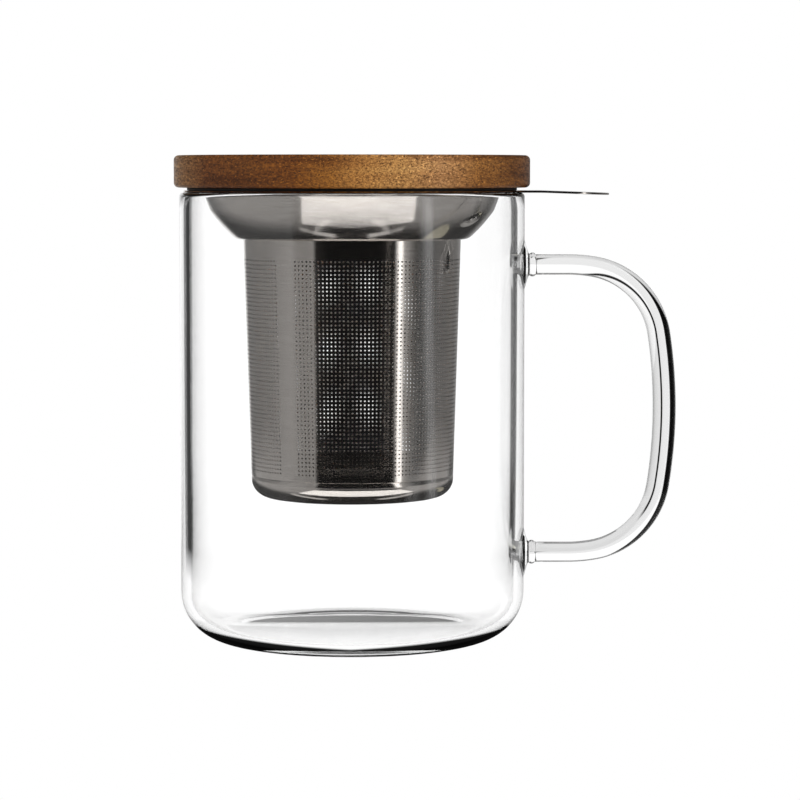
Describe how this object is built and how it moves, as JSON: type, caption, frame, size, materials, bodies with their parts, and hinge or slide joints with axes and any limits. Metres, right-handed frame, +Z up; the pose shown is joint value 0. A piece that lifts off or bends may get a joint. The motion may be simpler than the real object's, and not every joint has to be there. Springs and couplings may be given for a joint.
{
  "type": "lidded tea mug with infuser",
  "caption": "Clear glass tea mug with a loop handle, a lift-out perforated steel infuser that hangs on the rim by its flange, and a flat round wooden lid.",
  "frame": {"origin": "on the mug's axis, in the plane of the foot ring that it stands on", "axes": "+Z up the mug's axis towards the lid, +X towards the handle and the lifting tab, -Y towards the picture's viewer"},
  "size_m": [0.1239, 0.0876, 0.1196],
  "materials": {
    "borosilicate_glass": "clear, fire-polished",
    "stainless_steel": "polished sheet, etched holes",
    "acacia_wood": "oiled, satin",
    "silicone": "moulded, matt"
  },
  "bodies": {
    "mug": {"glass_body": "borosilicate_glass", "glass_handle": "borosilicate_glass"},
    "infuser": {"infuser_collar": "stainless_steel", "strainer_tube": "stainless_steel", "strainer_base": "stainless_steel"},
    "lid": {"lid_disc": "acacia_wood", "lid_gasket": "silicone", "lid_seal": "silicone"}
  },
  "joints": [
    {"name": "infuser_lift", "type": "slide", "parent": "mug", "child": "infuser", "axis": [0, 0, 1], "range_m": [0, 0.085]},
    {"name": "lid_lift", "type": "slide", "parent": "infuser", "child": "lid", "axis": [0, 0, 1], "range_m": [0, 0.03]}
  ]
}
